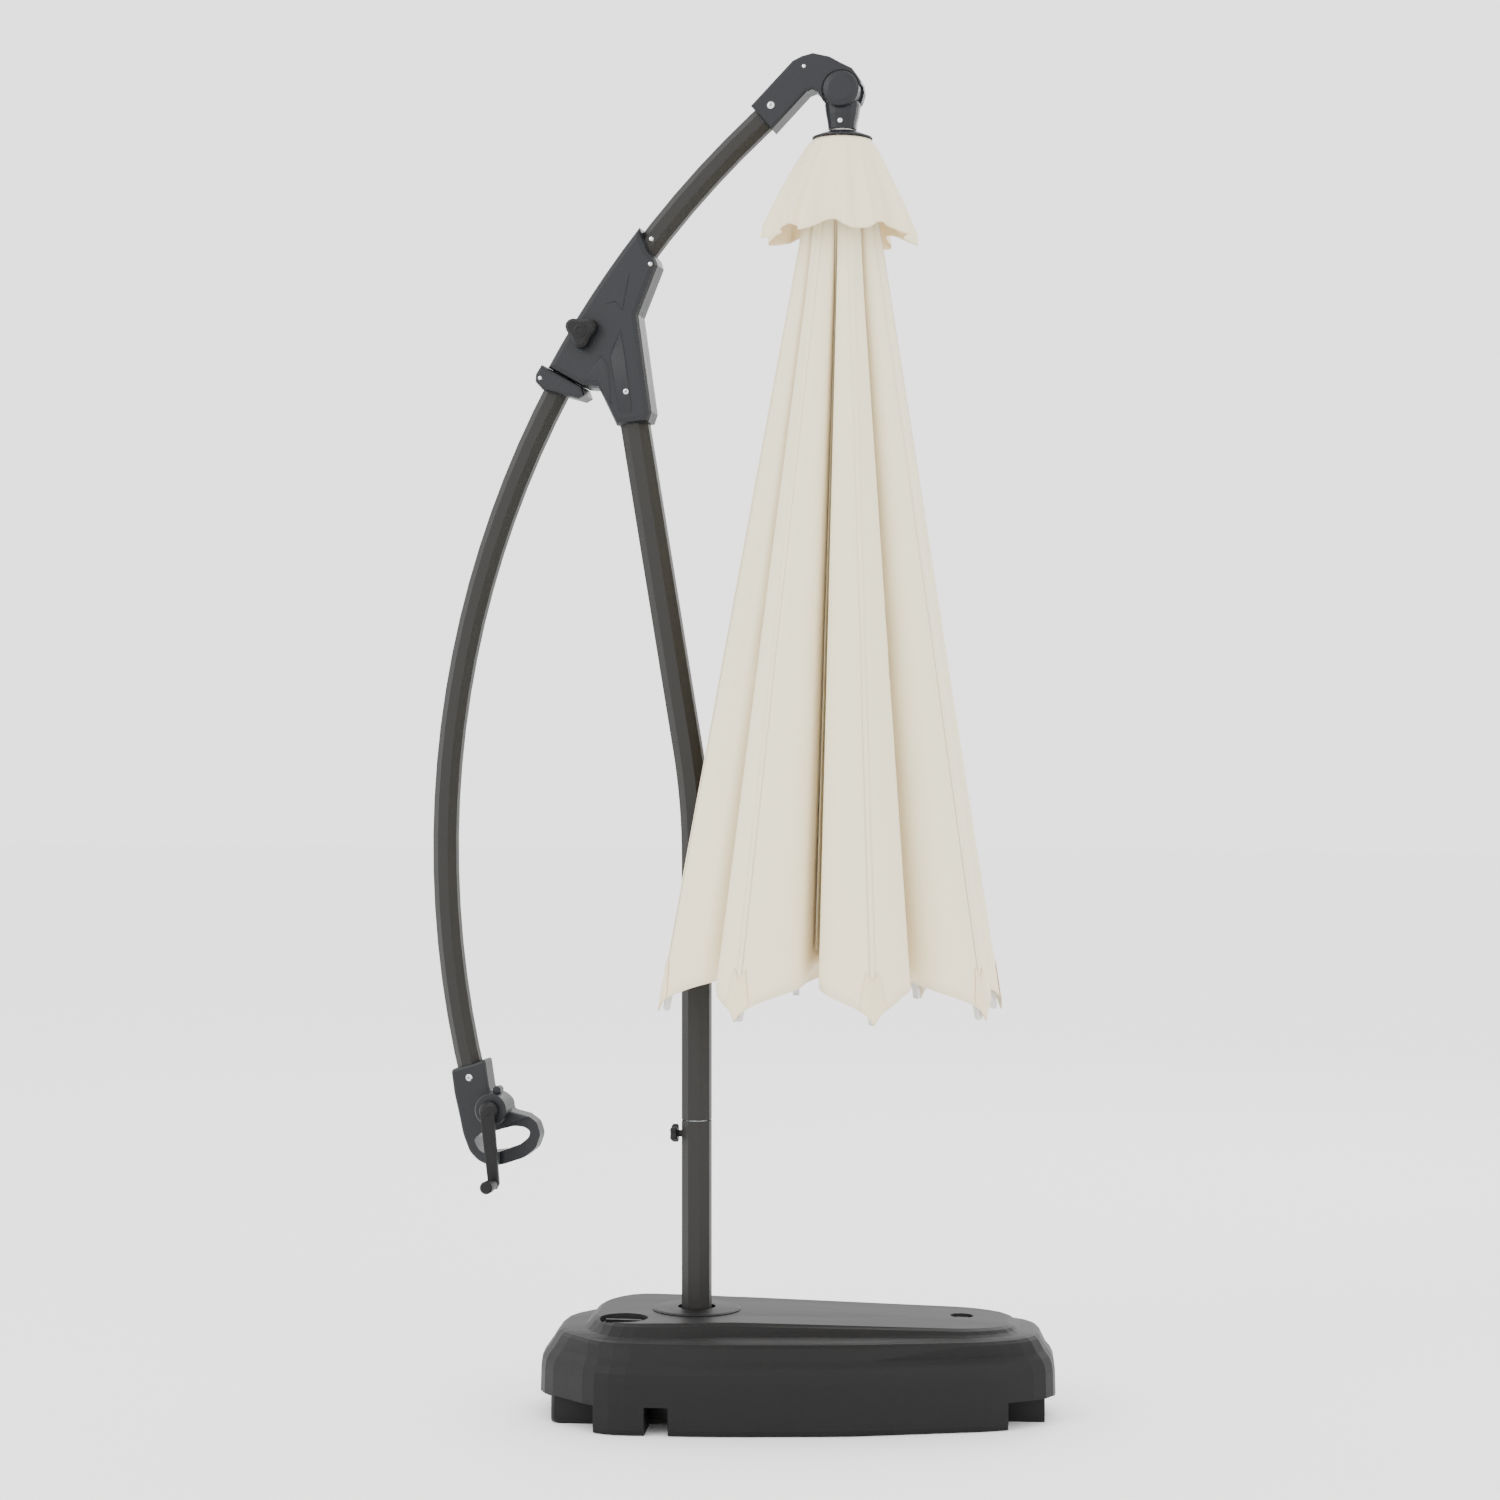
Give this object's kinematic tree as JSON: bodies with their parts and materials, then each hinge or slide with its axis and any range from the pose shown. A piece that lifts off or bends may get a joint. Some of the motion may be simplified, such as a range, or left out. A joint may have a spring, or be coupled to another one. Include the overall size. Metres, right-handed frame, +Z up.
{
  "type": "cantilever parasol",
  "caption": "Closed cantilever parasol with a cream canopy, a curved sliding boom with crank on a bent mast, and a black ground tank.",
  "frame": {"origin": "on the floor, on the mast's axis, under the steel foot plate", "axes": "+Z up, +X from the mast towards the canopy, in the boom's plane; the ground tank is turned 6.8 degrees about Z"},
  "size_m": [1.1136, 0.5788, 2.3865],
  "materials": {
    "powder_coat": "satin",
    "black_plastic": "matte",
    "tank_plastic": "matte",
    "bright_steel": "satin",
    "pad_nylon": "matte",
    "canopy_cloth": "matte",
    "white_metal": "satin"
  },
  "bodies": {
    "base": {"base_tank": "tank_plastic", "foot_plate": "powder_coat", "mast_lower": "powder_coat"},
    "mast": {"mast_spigot": "bright_steel", "mast_upper": "powder_coat", "bracket_near": "black_plastic", "bracket_far": "black_plastic", "bracket_clasp": "black_plastic", "bracket_pin": "bright_steel", "mast_screw": "bright_steel", "clasp_pin": "bright_steel", "glide_pad_upper": "pad_nylon", "glide_pad_lower": "pad_nylon"},
    "thumb_screw": {"thumb_screw": "black_plastic"},
    "filler_cap": {"filler_cap": "tank_plastic"},
    "drain_cap": {"drain_cap": "tank_plastic"},
    "lock_knob": {"lock_knob": "black_plastic"},
    "boom": {"boom_tube": "powder_coat", "boom_stop": "bright_steel", "boom_head": "black_plastic", "head_axle": "bright_steel", "head_rivet": "bright_steel", "head_screw": "bright_steel", "crank_housing": "black_plastic", "housing_screw": "bright_steel", "winch_cover": "black_plastic"},
    "crank": {"winding_drum": "bright_steel", "crank_arm": "black_plastic"},
    "crank_grip": {"crank_grip": "black_plastic"},
    "canopy": {"knuckle": "black_plastic", "rain_disc": "black_plastic", "post": "white_metal", "post_cap": "black_plastic", "hub": "black_plastic", "vent": "canopy_cloth", "runner": "black_plastic", "rib_1": "white_metal", "rib_2": "white_metal", "rib_3": "white_metal", "rib_4": "white_metal", "rib_5": "white_metal", "rib_6": "white_metal", "rib_7": "white_metal", "rib_8": "white_metal", "strut_1": "white_metal", "strut_2": "white_metal", "strut_3": "white_metal", "strut_4": "white_metal", "strut_5": "white_metal", "strut_6": "white_metal", "strut_7": "white_metal", "strut_8": "white_metal", "gore_1": "canopy_cloth", "gore_2": "canopy_cloth", "gore_3": "canopy_cloth", "gore_4": "canopy_cloth", "gore_5": "canopy_cloth", "gore_6": "canopy_cloth", "gore_7": "canopy_cloth", "gore_8": "canopy_cloth"}
  },
  "joints": [
    {"name": "mast_swivel", "type": "hinge", "parent": "base", "child": "mast", "pos_m": [0, 0, 0.512], "axis": [0, 0, 1], "continuous": true},
    {"name": "thumb_screw_turn", "type": "hinge", "parent": "base", "child": "thumb_screw", "pos_m": [-0.03, 0, 0.488], "axis": [-1, 0, 0], "continuous": true},
    {"name": "filler_cap_turn", "type": "hinge", "parent": "base", "child": "filler_cap", "pos_m": [-0.10727, -0.10544, 0.17], "axis": [0, 0, 1], "continuous": true},
    {"name": "drain_cap_turn", "type": "hinge", "parent": "base", "child": "drain_cap", "pos_m": [0.46234, 0.07527, 0.17], "axis": [0, 0, 1], "continuous": true},
    {"name": "lock_knob_turn", "type": "hinge", "parent": "mast", "child": "lock_knob", "pos_m": [-0.1984, -0.05, 1.9067], "axis": [0, -1, 0], "continuous": true},
    {"name": "boom_glide", "type": "hinge", "parent": "mast", "child": "boom", "pos_m": [1.249, 0, 0.992], "axis": [0, 1, 0], "range_deg": [0, 40]},
    {"name": "crank_turn", "type": "hinge", "parent": "boom", "child": "crank", "pos_m": [-0.363, 0, 0.528], "axis": [0, 1, 0], "continuous": true},
    {"name": "crank_grip_spin", "type": "hinge", "parent": "crank", "child": "crank_grip", "pos_m": [-0.3505, -0.1, 0.4], "axis": [0, 1, 0], "continuous": true},
    {"name": "canopy_hang", "type": "hinge", "parent": "boom", "child": "canopy", "pos_m": [0.262, 0, 2.3207], "axis": [0, 1, 0], "range_deg": [-40, 0]}
  ],
  "couplings": [
    {"joint": "canopy_hang", "follows": "boom_glide", "ratio": -1}
  ]
}
